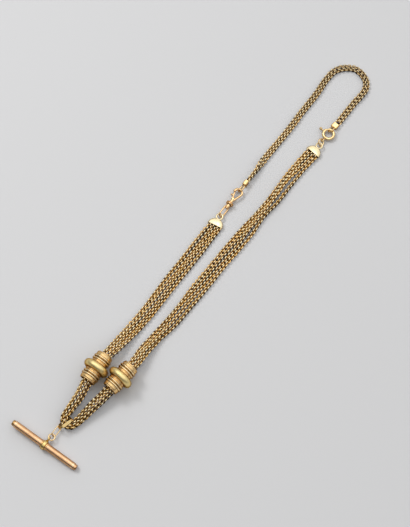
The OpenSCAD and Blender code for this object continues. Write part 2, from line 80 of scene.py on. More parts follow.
# Four chains as one ribbon of sections, in millimetres: foot line x, y, z, then how far
# each chain lies to the left of that line
RIBBON = [
    (7.7, 16.07, 1.1, -2.7, -0.9, 0.9, 2.7),
    (6.95, 14.65, 1.1, -2.7, -0.9, 0.9, 2.7),
    (5.4, 12.7, 0.9, -2.9, -0.8, 1, 2.7),
    (-0.2, 5.2, 0.9, -3, -0.9, 0.9, 3),
    (-6.2, -3, 0.9, -2.9, -0.8, 0.8, 2.9),
    (-12.2, -11, 0.9, -3, -0.7, 0.9, 2.8),
    (-18, -19.1, 0.9, -2.9, -0.9, 1.2, 2.7),
    (-23.7, -27.1, 0.9, -2.8, -0.7, 1, 2.6),
    (-29.8, -34.8, 1.2, -2.6, -0.9, 1, 2.5),
    (-36, -42.3, 2.6, -2.3, -0.7, 0.7, 2.3),
    (-39.8, -46.9, 3.8, -2.1, -0.8, 0.8, 2.1),
    (-43.6, -51.1, 4.6, -1.8, -0.9, 0.9, 1.8),
    (-48, -57.4, 4.7, -1.8, -0.9, 0.9, 1.8),
    (-52.4, -63.8, 4.6, -1.8, -0.9, 0.9, 1.8),
    (-55.6, -70, 3.9, -1.7, -0.9, 0.9, 1.7),
    (-58.8, -74.9, 3.2, -1.4, -0.9, 0.9, 1.3),
    (-61.5, -78.8, 2.7, -1, -0.9, 0.9, 1),
    (-62.4, -81.1, 2.4, -0.9, -0.9, 0.9, 0.9),
    (-62, -82.6, 1.9, -0.9, -0.9, 0.9, 0.9),
    (-61.1, -83.5, 1.4, -0.9, -0.9, 0.9, 0.9),
    (-59.8, -83.8, 1, -0.9, -0.9, 0.9, 0.9),
    (-58.4, -83.4, 0.9, -0.9, -0.9, 0.9, 0.9),
    (-56.5, -82, 1, -1, -0.9, 0.9, 1),
    (-53.9, -79.4, 1.7, -1.4, -0.9, 0.9, 1.3),
    (-50.2, -75.8, 2.9, -1.7, -0.9, 0.9, 1.7),
    (-45.9, -71.9, 4, -1.8, -0.9, 0.9, 1.8),
    (-41.4, -67.2, 4.6, -1.8, -0.9, 0.9, 1.8),
    (-36.6, -61.9, 4.7, -1.8, -0.9, 0.9, 1.8),
    (-31.7, -56.6, 4.6, -1.8, -0.9, 0.9, 1.8),
    (-28.7, -52.4, 3.8, -1.9, -0.8, 0.8, 1.9),
    (-25.9, -48, 2.6, -2, -0.7, 0.7, 2.1),
    (-19.5, -40.3, 1.1, -1.8, -0.8, 0.4, 2.2),
    (-13.1, -33, 0.9, -2.6, -0.9, 1.3, 2.3),
    (-7.1, -25.2, 0.9, -2.8, -0.8, 1.4, 2.2),
    (-1, -17.4, 0.9, -3, -0.9, 1.1, 2.8),
    (5.2, -9.6, 0.9, -2.9, -0.9, 1, 2.8),
    (11.4, -1.6, 0.9, -2.8, -1, 1, 2.9),
    (17.7, 6.1, 0.9, -2.9, -1, 1, 3),
    (24, 14.2, 0.9, -2.9, -0.7, 1, 2.6),
    (30.3, 22.4, 0.9, -2, -0.9, 1, 1.8),
    (36.9, 30.4, 0.9, -2.5, -0.4, 0.8, 2.1),
    (43, 39, 0.9, -2.7, -0.1, 0.6, 2.2),
    (49.5, 47.2, 0.9, -2.6, -0.8, 1, 2.4),
    (55.2, 53.7, 1.1, -2.7, -0.9, 0.9, 2.7),
    (56.5, 55.1, 1.1, -2.7, -0.9, 0.9, 2.7),
]

# The extension's two chains side by side, in millimetres: x, y, and how far the pair is
# rolled in degrees
PAIR = [
    (24.6, 40.5, 90),
    (28.4, 45.6, 80),
    (33.1, 52.6, 20),
    (37.7, 58.7, 0),
    (42.7, 65.1, 0),
    (48, 72.2, 20),
    (51.6, 77.6, 0),
    (55.7, 83, 0),
    (60.2, 89.2, 10),
    (64, 95.3, 0),
    (68.4, 100.6, 0),
    (72.2, 102.5, 10),
    (76, 103, 0),
    (79.8, 102.3, 0),
    (83, 99.4, 10),
    (84.9, 95.4, 0),
    (84.6, 91.2, 0),
    (82.4, 87.6, 10),
    (78.3, 82.9, 0),
    (74, 77.3, 0),
    (70.1, 72.07, 0),
]

# From chain to chain in the ribbon, and the wire's and the ring's radius of the source's rings
# that stand for the extension's links, in millimetres
CHAIN_GAP = 1.8
RING_WIRE_R = 0.26
RING_R = 0.83

# The T-bar: its middle, its heading, and how far it leans to the surface
BAR_MIDDLE = (-71.22, -93.13, 2.43)
BAR_HEADING = math.radians(-35.2)
BAR_LEAN = math.radians(2.5)

# The slides: the name of each one's gold, its middle and its heading
SLIDES = {
    "slide_left": ("Left slide gold", (-47.95, -57.35, 6.4), math.radians(55.6)),
    "slide_right": ("Right slide gold", (-36.55, -61.92, 6.4), math.radians(47.6)),
}


def place(x, y, z=0.0):
    """A point of the source's tables, in metres from the loop's middle."""
    return Vector((x - MIDDLE[0], y - MIDDLE[1], z)) * MM


def linear(red, green, blue):
    """A colour picked on screen, 0 to 255, as linear light."""
    def one(value):
        value /= 255
        return value / 12.92 if value <= 0.04045 else ((value + 0.055) / 1.055) ** 2.4
    return (one(red), one(green), one(blue), 1.0)


# Sizes and colours


class ChainSizes(bpy.types.PropertyGroup):
    """Sizes of the links of the four fine chains"""

    link_length: bpy.props.FloatProperty(
        name="Link length", description="Outside length of one oval link",
        default=2.4 * MM, min=1 * MM, max=4 * MM, subtype="DISTANCE", unit="LENGTH")
    link_width: bpy.props.FloatProperty(
        name="Link width", description="Outside width of one oval link",
        default=2.3 * MM, min=1 * MM, max=3 * MM, subtype="DISTANCE", unit="LENGTH")
    wire: bpy.props.FloatProperty(
        name="Wire", description="Thickness of the link's wire",
        default=0.6 * MM, min=0.1 * MM, max=1 * MM, subtype="DISTANCE", unit="LENGTH")
    pitch: bpy.props.FloatProperty(
        name="Pitch", description="Distance from one link to the next",
        default=1.2 * MM, min=0.5 * MM, max=3 * MM, subtype="DISTANCE", unit="LENGTH")
    sway: bpy.props.FloatProperty(
        name="Sway", description="How far single links may turn about the chain",
        default=math.radians(9), min=0, max=math.radians(45), subtype="ANGLE", unit="ROTATION")
    roll_step: bpy.props.FloatProperty(
        name="Roll", description="How much a chain twists from one section to the next",
        default=math.radians(14), min=0, max=math.radians(180), subtype="ANGLE", unit="ROTATION")


class ExtensionSizes(bpy.types.PropertyGroup):
    """Sizes of the links of the doubled extension chain"""

    link_length: bpy.props.FloatProperty(
        name="Link length", description="Outside length of one link",
        default=2.34 * MM, min=1 * MM, max=4 * MM, subtype="DISTANCE", unit="LENGTH")
    link_width: bpy.props.FloatProperty(
        name="Link width", description="Outside width of one link",
        default=2.2 * MM, min=1 * MM, max=3 * MM, subtype="DISTANCE", unit="LENGTH")
    wire: bpy.props.FloatProperty(
        name="Wire", description="Thickness of the link's wire",
        default=0.585 * MM, min=0.1 * MM, max=1 * MM, subtype="DISTANCE", unit="LENGTH")
    pitch: bpy.props.FloatProperty(
        name="Pitch", description="Distance from one link to the next",
        default=1.17 * MM, min=0.5 * MM, max=3 * MM, subtype="DISTANCE", unit="LENGTH")
    spacing: bpy.props.FloatProperty(
        name="Spacing", description="Distance between the two chains",
        default=1.75 * MM, min=1 * MM, max=4 * MM, subtype="DISTANCE", unit="LENGTH")
    sway: bpy.props.FloatProperty(
        name="Sway", description="How far single links may turn about the chain",
        default=math.radians(6), min=0, max=math.radians(45), subtype="ANGLE", unit="ROTATION")


class GoldColours(bpy.types.PropertyGroup):
    """Colours of the golds"""

    rose: bpy.props.FloatVectorProperty(
        name="Rose gold", description="The T-bar's tube", size=4, subtype="COLOR",
        min=0, max=1, default=linear(240, 194, 150))
    yellow: bpy.props.FloatVectorProperty(
        name="Yellow gold", description="The small rings", size=4, subtype="COLOR",
        min=0, max=1, default=linear(252, 224, 172))
    bail: bpy.props.FloatVectorProperty(
        name="Bail gold", description="The strap loop that holds the four chains", size=4,
        subtype="COLOR", min=0, max=1, default=linear(255, 226, 160))
    clip: bpy.props.FloatVectorProperty(
        name="Clip gold", description="The dog clip", size=4, subtype="COLOR",
        min=0, max=1, default=linear(252, 214, 160))
    pale: bpy.props.FloatVectorProperty(
        name="Pale gold", description="The flat end caps", size=4, subtype="COLOR",
        min=0, max=1, default=linear(255, 240, 196))
    box_caps: bpy.props.FloatVectorProperty(
        name="Box cap gold", description="The extension's box caps", size=4, subtype="COLOR",
        min=0, max=1, default=linear(252, 218, 156))
    bolt_ring: bpy.props.FloatVectorProperty(
        name="Bolt ring gold", description="The bolt ring and its bolt", size=4, subtype="COLOR",
        min=0, max=1, default=linear(255, 228, 172))
    green: bpy.props.FloatVectorProperty(
        name="Green gold", description="The fat rings of the slides", size=4,
        subtype="COLOR", min=0, max=1, default=linear(252, 234, 166))
    links: bpy.props.FloatVectorProperty(
        name="Link gold", description="The fine chains", size=4, subtype="COLOR",
        min=0, max=1, default=linear(255, 208, 122))
    extension: bpy.props.FloatVectorProperty(
        name="Extension gold", description="The doubled extension chain", size=4, subtype="COLOR",
        min=0, max=1, default=linear(250, 212, 146))
    # Old polish and painted shade, in the links' hollows and on their undersides
    hollows: bpy.props.FloatVectorProperty(
        name="Hollows", description="Old polish left inside the links", size=4,
        subtype="COLOR", min=0, max=1, default=linear(32, 13, 1))


class StageSettings(bpy.types.PropertyGroup):
    """Camera and light"""

    elevation: bpy.props.FloatProperty(
        name="Elevation", description="Height of the camera above the table, as an angle",
        default=math.radians(70), min=0, max=math.radians(90), subtype="ANGLE", unit="ROTATION")
    distance: bpy.props.FloatProperty(
        name="Distance", description="From the camera to the middle of the view",
        default=0.68, min=0.1, max=5, subtype="DISTANCE", unit="LENGTH")
    floor: bpy.props.FloatVectorProperty(
        name="Floor", description="Colour of the pale floor", size=4, subtype="COLOR",
        min=0, max=1, default=(0.52, 0.52, 0.525, 1))
    key_power: bpy.props.FloatProperty(
        name="Key light", description="Power of the soft light at the upper left",
        default=4.5, min=0, max=500, unit="POWER")
    ceiling: bpy.props.FloatProperty(
        name="Ceiling", description="Brightness of the studio's soft ceiling", default=1.05,
        min=0, max=10)


# Half the floor's width, and the place and width of the key light, in metres
FLOOR_HALF = 3.0
KEY_PLACE = (-0.5, 0.42, 0.8)
KEY_WIDTH = 0.3

# The studio's soft ceiling: its middle, then cosine of the angle from there, brightness
CEILING_MIDDLE = (0.33, 0.24, 0.91)
CEILING = [(0.0, 0.05), (0.26, 0.14), (0.48, 0.55), (0.68, 0.98), (1.0, 1.08)]
# More glows: direction, cosines where each starts and is full, added brightness
PANELS = [((0.1, 0.3, 0.95), (0.972, 0.985), 1.3), ((-0.45, 0.35, 0.82), (0.972, 0.985), 1.3),
          ((-0.66, 0.52, 0.54), (0.5, 0.92), 0.2)]


# Paths


def leftward(way):
    """The flat direction to the left of a way."""
    return Vector((-way.y, way.x, 0)).normalized()


def way_at(points, i):
    """The direction of a line of points at one of them."""
    return (points[min(i + 1, len(points) - 1)] - points[max(i - 1, 0)]).normalized()


def ride_up(gap):
    """Height of a chain whose neighbour lies closer than the ribbon's own gap."""
    return math.sqrt(max(0.0, CHAIN_GAP * CHAIN_GAP - gap * gap))


def strand_points(k):
    """Middle line of one of the four chains, in metres."""
    foot = [Vector(row[:3]) for row in RIBBON]
    points = []
    for i, row in enumerate(RIBBON):
        a = row[3:]
        third = ride_up(a[3] - a[2])
        second = max(ride_up(a[1] - a[0]), third + ride_up(a[2] - a[1]))
        height = (0, second, third, 0)[k]
        way = way_at(foot, i)
        left = leftward(way)
        points.append(foot[i] + a[k] * left + height * way.cross(left))
    return [place(*p) for p in points]


def strand_rolls(k, count, step):
    """Each chain's own slow twist along the ribbon."""
    return [math.pi / 4 + step * math.sin(0.9 * i + 1.7 * k) for i in range(count)]


def smooth(a, b, c, d, t):
    """A point between b and c on the curve through four rows."""
    return tuple(
        q + t * (r - p + t * (2 * p - 5 * q + 4 * r - s + t * (3 * (q - r) + s - p))) / 2
        for p, q, r, s in zip(a, b, c, d))


def extension_points(side, spacing):
    """Middle line of one of the extension's chains in metres, and its rolls."""
    steps = 6
    rows = [PAIR[0]] + PAIR + [PAIR[-1]]
    line = [smooth(*rows[i:i + 4], j / steps) for i in range(len(PAIR) - 1) for j in range(steps)]
    line.append(PAIR[-1])
    flat = [Vector((x, y, 0)) for x, y, _ in line]
    points, rolls = [], []
    for i, (_, _, turn) in enumerate(line):
        roll = math.radians(turn)
        left = leftward(way_at(flat, i))
        steepest = max(abs(math.sin(roll + math.pi / 4)), abs(math.sin(roll - math.pi / 4)))
        low = RING_WIRE_R + RING_R * steepest
        across = side * spacing / 2
        height = low + spacing / 2 * math.sin(roll) + across * math.sin(roll)
        p = flat[i] + across * math.cos(roll) * left
        points.append(place(p.x, p.y, height))
        rolls.append(roll + math.pi / 4)
    return points, rolls


def path_object(name, points, rolls):
    """A line of edges that carries each section's roll, for the link tree."""
    mesh = bpy.data.meshes.new(name)
    mesh.from_pydata(points, [(i, i + 1) for i in range(len(points) - 1)], [])
    attribute = mesh.attributes.new("roll", "FLOAT", "POINT")
    attribute.data.foreach_set("value", rolls)
    obj = bpy.data.objects.new(name, mesh)
    bpy.context.scene.collection.objects.link(obj)
    return obj


# Geometry nodes


class TreeMaker:
    """Adds nodes to a tree and joins their sockets."""

    def __init__(self, tree):
        self.tree = tree

    def node(self, kind, inputs=None, **settings):
        node = self.tree.nodes.new(kind)
        for name, value in settings.items():
            setattr(node, name, value)
        for name, value in (inputs or {}).items():
            socket = node.inputs[name]
            if isinstance(value, bpy.types.NodeSocket):
                self.tree.links.new(value, socket)
            else:
                socket.default_value = value
        return node

    def math(self, operation, a, b=0.0, c=0.0):
        node = self.tree.nodes.new("ShaderNodeMath")
        node.operation = operation
        for socket, value in zip(node.inputs, (a, b, c)):
            if isinstance(value, bpy.types.NodeSocket):
                self.tree.links.new(value, socket)
            else:
                socket.default_value = value
        return node.outputs[0]


# One link's steps round its oval and round its wire, and how far out of its middle, as a
# share of its own size, the hollow starts and is full
OVAL_STEPS = 12
WIRE_STEPS = 6
HOLLOW_START = 1.12
HOLLOW_FULL = 0.76


def link_tree():
    """Geometry nodes that roll oval wire links along a path."""
    tree = bpy.data.node_groups.new("Rolled links", "GeometryNodeTree")
    tree.is_modifier = True
    face = tree.interface
    face.new_socket(name="Path", in_out="INPUT", socket_type="NodeSocketGeometry")
    for name, low in (("Link length", 0.0), ("Link width", 0.0), ("Wire", 0.0), ("Pitch", 0.0001)):
        socket = face.new_socket(name=name, in_out="INPUT", socket_type="NodeSocketFloat")
        socket.subtype = "DISTANCE"
        socket.min_value = low
    socket = face.new_socket(name="Sway", in_out="INPUT", socket_type="NodeSocketFloat")
    socket.subtype = "ANGLE"
    face.new_socket(name="Seed", in_out="INPUT", socket_type="NodeSocketInt")
    face.new_socket(name="Gold", in_out="INPUT", socket_type="NodeSocketMaterial")
    face.new_socket(name="Links", in_out="OUTPUT", socket_type="NodeSocketGeometry")
    make = TreeMaker(tree)
    given = make.node("NodeGroupInput").outputs

    # The path: a smooth curve with a point at every pitch
    curve = make.node("GeometryNodeMeshToCurve", {"Mesh": given["Path"]})
    smooth_curve = make.node("GeometryNodeCurveSplineType", {"Curve": curve.outputs[0]},
                             spline_type="CATMULL_ROM")
    spaced = make.node("GeometryNodeResampleCurve",
                       {"Curve": smooth_curve.outputs[0], "Length": given["Pitch"]}, mode="LENGTH")

    # One link: an oval of round wire, with its inner side marked as hollow
    half_length = make.math("MULTIPLY_ADD", given["Link length"], 0.5, make.math(
        "MULTIPLY", given["Wire"], -0.5))
    half_width = make.math("MULTIPLY_ADD", given["Link width"], 0.5, make.math(
        "MULTIPLY", given["Wire"], -0.5))
    size = make.node("ShaderNodeCombineXYZ", {"X": half_length, "Y": half_width, "Z": 1.0})
    round_line = make.node("GeometryNodeCurvePrimitiveCircle", {"Resolution": OVAL_STEPS, "Radius": 1.0})
    oval = make.node("GeometryNodeTransform",
                     {"Geometry": round_line.outputs[0], "Scale": size.outputs[0]})
    profile = make.node("GeometryNodeCurvePrimitiveCircle",
                        {"Resolution": WIRE_STEPS,
                         "Radius": make.math("MULTIPLY", given["Wire"], 0.5)})
    wire = make.node("GeometryNodeCurveToMesh",
                     {"Curve": oval.outputs[0], "Profile Curve": profile.outputs[0]})
    spot = make.node("ShaderNodeSeparateXYZ",
                     {"Vector": make.node("GeometryNodeInputPosition").outputs[0]})
    out_x = make.math("DIVIDE", spot.outputs["X"], half_length)
    out_y = make.math("DIVIDE", spot.outputs["Y"], half_width)
    reach = make.math("SQRT", make.math("MULTIPLY_ADD", out_x, out_x, make.math(
        "MULTIPLY", out_y, out_y)))
    inner = make.node("ShaderNodeMapRange", {"Value": reach, "From Min": HOLLOW_START,
                                             "From Max": HOLLOW_FULL})
    marked = make.node("GeometryNodeStoreNamedAttribute",
                       {"Geometry": wire.outputs[0], "Name": "hollow", "Value": inner.outputs[0]},
                       data_type="FLOAT", domain="POINT")

    # Every second link stands across its neighbours, and each sways a little
    along = make.node("GeometryNodeInputTangent")
    frame_turn = make.node("FunctionNodeAxesToRotation",
                           {"Primary Axis": along.outputs[0], "Secondary Axis": (0, 0, 1)},
                           primary_axis="X", secondary_axis="Z")
    odd = make.math("MODULO", make.node("GeometryNodeInputIndex").outputs[0], 2.0)
    roll = make.node("GeometryNodeInputNamedAttribute", {"Name": "roll"}, data_type="FLOAT")
    sway = make.node("FunctionNodeRandomValue", data_type="FLOAT")
    for name, value in (("Min", make.math("MULTIPLY", given["Sway"], -1.0)), ("Max", given["Sway"])):
        socket = [s for s in sway.inputs if s.name == name and s.type == "VALUE"][0]
        tree.links.new(value, socket)
    tree.links.new(given["Seed"], sway.inputs["Seed"])
    sway_out = [s for s in sway.outputs if s.type == "VALUE"][0]
    angle = make.math("ADD", make.math("MULTIPLY_ADD", odd, math.pi / 2, roll.outputs[0]), sway_out)
    own_turn = make.node("FunctionNodeAxisAngleToRotation", {"Axis": (1, 0, 0), "Angle": angle})
    turned = make.node("FunctionNodeRotateRotation",
                       {"Rotation": frame_turn.outputs[0], "Rotate By": own_turn.outputs[0]},
                       rotation_space="LOCAL")
    placed = make.node("GeometryNodeInstanceOnPoints",
                       {"Points": spaced.outputs[0], "Instance": marked.outputs[0],
                        "Rotation": turned.outputs[0]})
    tone = make.node("FunctionNodeRandomValue", data_type="FLOAT")
    tone_out = [s for s in tone.outputs if s.type == "VALUE"][0]
    toned = make.node("GeometryNodeStoreNamedAttribute",
                      {"Geometry": placed.outputs[0], "Name": "tone", "Value": tone_out},
                      data_type="FLOAT", domain="INSTANCE")
    # How high each point of a link lies over the link's middle
    here = make.node("ShaderNodeSeparateXYZ",
                     {"Vector": make.node("GeometryNodeInputPosition").outputs[0]}).outputs["Z"]
    levelled = make.node("GeometryNodeStoreNamedAttribute",
                         {"Geometry": toned.outputs[0], "Name": "middle", "Value": here},
                         data_type="FLOAT", domain="INSTANCE")
    real = make.node("GeometryNodeRealizeInstances", {"Geometry": levelled.outputs[0]})
    middle = make.node("GeometryNodeInputNamedAttribute", {"Name": "middle"}, data_type="FLOAT")
    lifted = make.node("GeometryNodeStoreNamedAttribute",
                       {"Geometry": real.outputs[0], "Name": "lift",
                        "Value": make.math("SUBTRACT", here, middle.outputs[0])},
                       data_type="FLOAT", domain="POINT")
    soft = make.node("GeometryNodeSetShadeSmooth", {"Geometry": lifted.outputs[0]})
    done = make.node("GeometryNodeSetMaterial",
                     {"Geometry": soft.outputs[0], "Material": given["Gold"]})
    end = make.node("NodeGroupOutput")
    tree.links.new(done.outputs[0], end.inputs["Links"])
    return tree


def rolled_links(name, points, rolls, sizes, seed, gold):
    """One chain of links along a path, as a plain mesh."""
    path = path_object(name + "_path", points, rolls)
    tree = bpy.data.node_groups.get("Rolled links") or link_tree()
    modifier = path.modifiers.new("Links", "NODES")
    modifier.node_group = tree
    values = {"Link length": sizes.link_length, "Link width": sizes.link_width, "Wire": sizes.wire,
              "Pitch": sizes.pitch, "Sway": sizes.sway, "Seed": seed, "Gold": gold}
    for item in tree.interface.items_tree:
        if item.in_out == "INPUT" and item.name in values:
            modifier[item.identifier] = values[item.name]
    bpy.context.view_layer.update()
    graph = bpy.context.evaluated_depsgraph_get()
    mesh = bpy.data.meshes.new_from_object(path.evaluated_get(graph))
    mesh.name = name
    obj = bpy.data.objects.new(name, mesh)
    bpy.context.scene.collection.objects.link(obj)
    line = path.data
    bpy.data.objects.remove(path)
    bpy.data.meshes.remove(line)
    return obj


# Golds


# What gold mirrors at a grazing angle. Then the painted shade on its rims, a darker, warmer colour where
# the surface turns away from the view, and how far a surface has turned away, as Facing gives it, where
# that shade starts and where it is full
GRAZING_TINT = linear(206, 156, 98)
RIM_SHADE = linear(92, 56, 22)
RIM_START = 0.45
RIM_FULL = 0.95


class GoldMaker(TreeMaker):
    """A polished gold on an object's own coordinates, built up step by step."""

    def __init__(self, name, at=(0, 0, 0), heading=0.0, lean=0.0):
        self.material = bpy.data.materials.new(name)
        self.material.use_nodes = True
        super().__init__(self.material.node_tree)
        self.tree.nodes.clear()
        self.shader = self.node("ShaderNodeBsdfPrincipled",
                                {"Metallic": 1.0, "Specular Tint": GRAZING_TINT})
        self.node("ShaderNodeOutputMaterial", {"Surface": self.shader.outputs[0]})
        coordinates = self.node("ShaderNodeTexCoord")
        self.local = self.node("ShaderNodeMapping",
                               {"Vector": coordinates.outputs["Object"], "Location": at,
                                "Rotation": (0, lean, heading)}, vector_type="TEXTURE").outputs[0]
        self.surface = None

    def axis(self, letter):
        return self.node("ShaderNodeSeparateXYZ", {"Vector": self.local}).outputs[letter]

    def noise(self, size, detail, roughness=0.5, stretch=None):
        vector = self.local
        if stretch:
            vector = self.node("ShaderNodeMapping", {"Vector": vector, "Scale": stretch}).outputs[0]
        return self.node("ShaderNodeTexNoise", {"Vector": vector, "Scale": 1 / size, "Detail": detail,
                                                "Roughness": roughness}).outputs[0]

    def spread(self, value, low, high, to_low=0.0, to_high=1.0):
        return self.node("ShaderNodeMapRange", {"Value": value, "From Min": low, "From Max": high,
                                                "To Min": to_low, "To Max": to_high}).outputs[0]

    def mix(self, share, a, b):
        node = self.node("ShaderNodeMix", data_type="RGBA")
        for socket, value in zip((node.inputs[0], node.inputs[6], node.inputs[7]), (share, a, b)):
            if isinstance(value, bpy.types.NodeSocket):
                self.tree.links.new(value, socket)
            else:
                socket.default_value = value
        return node.outputs[2]

    def ramp(self, value, stops):
        node = self.tree.nodes.new("ShaderNodeValToRGB")
        elements = node.color_ramp.elements
        while len(elements) < len(stops):
            elements.new(0.5)
        for element, (position, colour) in zip(elements, stops):
            element.position = position
            element.color = colour
        self.tree.links.new(value, node.inputs[0])
        return node.outputs[0]

    def colour(self, value, rim=0.6):
        """The base colour, with painted shade that makes it warmer and darker where the surface turns
        away from the view.
        """
        facing = self.node("ShaderNodeLayerWeight", {"Blend": 0.5}).outputs["Facing"]
        # Painted shade on the rims that turn away from the view
        away = self.spread(facing, RIM_START, RIM_FULL, 0.0, rim)
        self.tree.links.new(self.mix(away, value, RIM_SHADE), self.shader.inputs["Base Color"])

    def roughness(self, value):
        self.tree.links.new(value, self.shader.inputs["Roughness"])

    def bump(self, height, strength, distance):
        given = {"Height": height, "Strength": strength, "Distance": distance}
        if self.surface is not None:
            given["Normal"] = self.surface
        self.surface = self.node("ShaderNodeBump", given).outputs[0]
        self.tree.links.new(self.surface, self.shader.inputs["Normal"])


def deeper(colour, by):
    """The same gold in its darker, warmer places."""
    warm = 0.9
    return (colour[0] * by, colour[1] * by * warm, colour[2] * by * warm * warm, 1)


def wear(make, colour, shine):
    """The soft patches, fine scratches and dents of long wear; gives back the base colour."""
    patches = make.spread(make.noise(3.2 * MM, 4), 0.36, 0.68)
    fine = make.spread(make.noise(0.7 * MM, 3), 0.4, 0.7)
    base = make.mix(make.math("MULTIPLY", patches, 0.55), colour, deeper(colour, 0.74))
    base = make.mix(make.math("MULTIPLY", fine, 0.28), base, deeper(colour, 0.55))
    make.roughness(make.spread(make.math("ADD", patches, make.math("MULTIPLY", fine, 0.5)), 0.0, 1.5,
                               shine[0], shine[1]))
    make.bump(make.noise(0.25 * MM, 2, stretch=(0.2, 1, 1)), 0.16, 0.03 * MM)
    make.bump(make.noise(2.6 * MM, 2), 0.35, 0.06 * MM)
    return base


def handled_gold(name, colour, shine):
    """Polished gold, worn by long handling."""
    make = GoldMaker(name)
    make.colour(wear(make, colour, shine))
    return make.material


# Painted shade where the light falls off along the chains: from one y to another in the source's
# numbers, how much more painted shade there is, and how far the gold itself is darker
STRAND_FAR_SHADE = (-52, -70, 0.08, 0.1)
EXTENSION_FAR_SHADE = (68, 92, 0.08, 0.25)


def link_gold(name, colour, hollows, polish_and_shade_shift, far_shade):
    """Gold of the small links: painted highlight on their tops, old polish and painted shade in their
    hollows, and painted shade on their undersides.

    The polish and shade shift is how much more of the old polish and painted shade is left everywhere,
    and the far shade is one of the rows above.
    """
    make = GoldMaker(name)
    hollow, tone, lift = (make.node("ShaderNodeAttribute", attribute_name=a).outputs["Fac"]
                          for a in ("hollow", "tone", "lift"))
    # Painted shade: the lower part of each link, where the links shade one another, and its inner side
    # take the hollows' colour, which stands for old polish and painted shade together
    raised = make.spread(lift, -0.2 * MM, 0.5 * MM)
    polish_and_shade = make.math("ADD", make.math("MULTIPLY", hollow, 0.75),
                      make.math("MULTIPLY_ADD", raised, -0.8, 0.55))
    polish_and_shade = make.math("MULTIPLY_ADD", make.noise(0.5 * MM, 3), 0.5, polish_and_shade)
    start, full, more_shade, darker = far_shade
    # Painted shade that grows towards the far end of the chain's light falloff
    far_shade_mask = make.spread(make.axis("Y"), place(0, start).y, place(0, full).y)
    polish_and_shade = make.math("ADD", polish_and_shade, make.math("MULTIPLY_ADD", far_shade_mask, more_shade, polish_and_shade_shift))
    polish_and_shade = make.spread(polish_and_shade, 0.42, 0.74)
    base = make.mix(make.math("MULTIPLY", tone, 0.35), colour, deeper(colour, 0.82))
    # Painted highlight: the highest part of each link turns pale cream
    base = make.mix(make.spread(lift, 0.55 * MM, 0.85 * MM, 0.0, 0.9), base, linear(255, 242, 200))
    # Painted shade: the gold itself is darker where the light falls off
    base = make.mix(make.math("MULTIPLY", far_shade_mask, darker), base, deeper(colour, 0.3))
    base = make.mix(make.math("MULTIPLY", polish_and_shade, 0.96), base, hollows)
    make.colour(base, 0.22)
    make.roughness(make.spread(polish_and_shade, 0.0, 1.0, 0.2, 0.55))
    # The old polish and the painted shade are no metal
    make.tree.links.new(make.math("MULTIPLY_ADD", polish_and_shade, -0.92, 1.0), make.shader.inputs["Metallic"])
    make.shader.inputs["Specular IOR Level"].default_value = 0.06
    make.bump(make.noise(0.3 * MM, 2), 0.25, 0.03 * MM)
    return make.material


# How far the slides' bands reach, half the fat ring's width, where the sleeve's fine rings
# start and end, and from ring to ring, in millimetres
SLIDE_REACH = 8
FAT_RING_HALF = 1.8
SLEEVE_START = 5.55
SLEEVE_END = 6.6
SLEEVE_STEP = 0.3
# The dark bands at 1.78, 2.75 to 3.08, 4.1 to 4.46, 5.46 and 6.62 mm are painted shade in the grooves
# and creases between the slide's parts, and the cream rims are painted highlight over their paler gold
SLIDE_BANDS_AND_SHADE = [
    # from the middle in mm, colour
    (0.0, (252, 228, 168)), (1.5, (246, 216, 148)), (1.78, (188, 138, 62)), (1.98, (220, 172, 100)),
    (2.1, (255, 222, 162)), (2.55, (255, 218, 156)), (2.75, (222, 176, 110)), (3.08, (220, 174, 110)),
    (3.2, (254, 230, 182)), (4.02, (254, 230, 182)), (4.1, (112, 76, 34)), (4.46, (112, 76, 34)),
    (4.54, (254, 230, 182)), (5.36, (254, 230, 182)), (5.46, (188, 142, 74)), (5.7, (255, 216, 154)),
    (6.5, (255, 220, 158)), (6.62, (204, 158, 94)), (6.78, (252, 218, 162)), (7.43, (248, 206, 146)),
]


def slide_gold(name, at, heading, green):
    """A slide's golds in bands along its axis: satin fat ring, bright rims with painted highlight, warm
    sleeve, and painted shade in the grooves and creases between them.
    """
    make = GoldMaker(name, at, heading)
    along = make.math("ABSOLUTE", make.axis("X"))
    bands = make.ramp(make.math("DIVIDE", along, SLIDE_REACH * MM),
                      [(mm / SLIDE_REACH, linear(*rgb)) for mm, rgb in SLIDE_BANDS_AND_SHADE])
    flecks = make.spread(make.noise(0.55 * MM, 4, 0.6), 0.56, 0.66)
    patches = make.spread(make.noise(2.4 * MM, 3), 0.35, 0.7)
    fat = make.math("LESS_THAN", along, FAT_RING_HALF * MM)
    base = make.mix(make.math("MULTIPLY", fat, 0.4), bands, green)
    base = make.mix(make.math("MULTIPLY", patches, 0.14), base, linear(206, 164, 86))
    base = make.mix(make.math("MULTIPLY", flecks, 0.34), base, linear(128, 92, 40))
    make.colour(base)
    make.roughness(make.math("ADD", make.math("MULTIPLY", fat, 0.12), make.spread(
        make.math("ADD", patches, flecks), 0, 2, 0.24, 0.38)))
    rings = make.math("SINE", make.math("MULTIPLY", along, 2 * math.pi / (SLEEVE_STEP * MM)))
    sleeve = make.math("MULTIPLY", make.math("GREATER_THAN", along, SLEEVE_START * MM),
                       make.math("LESS_THAN", along, SLEEVE_END * MM))
    make.bump(make.math("MULTIPLY", rings, sleeve), 0.5, 0.05 * MM)
    make.bump(make.noise(0.4 * MM, 3), 0.3, 0.04 * MM)
    return make.material


# Along half of the T-bar, in millimetres: how far its bands of colour reach, the end of the
# bands beside the collar, and where the pale rim and the button start
BAR_REACH = 20
BAR_BANDS_END = 1.62
BAR_RIM_START = 16.1
BAR_BUTTON_START = 17.12
BAR_BANDS = [
    # from the middle in mm, colour
    (0.0, (232, 204, 134)), (0.75, (232, 204, 134)), (0.85, (232, 186, 124)),
    (1.55, (232, 186, 124)), (1.7, (255, 255, 255)),
]


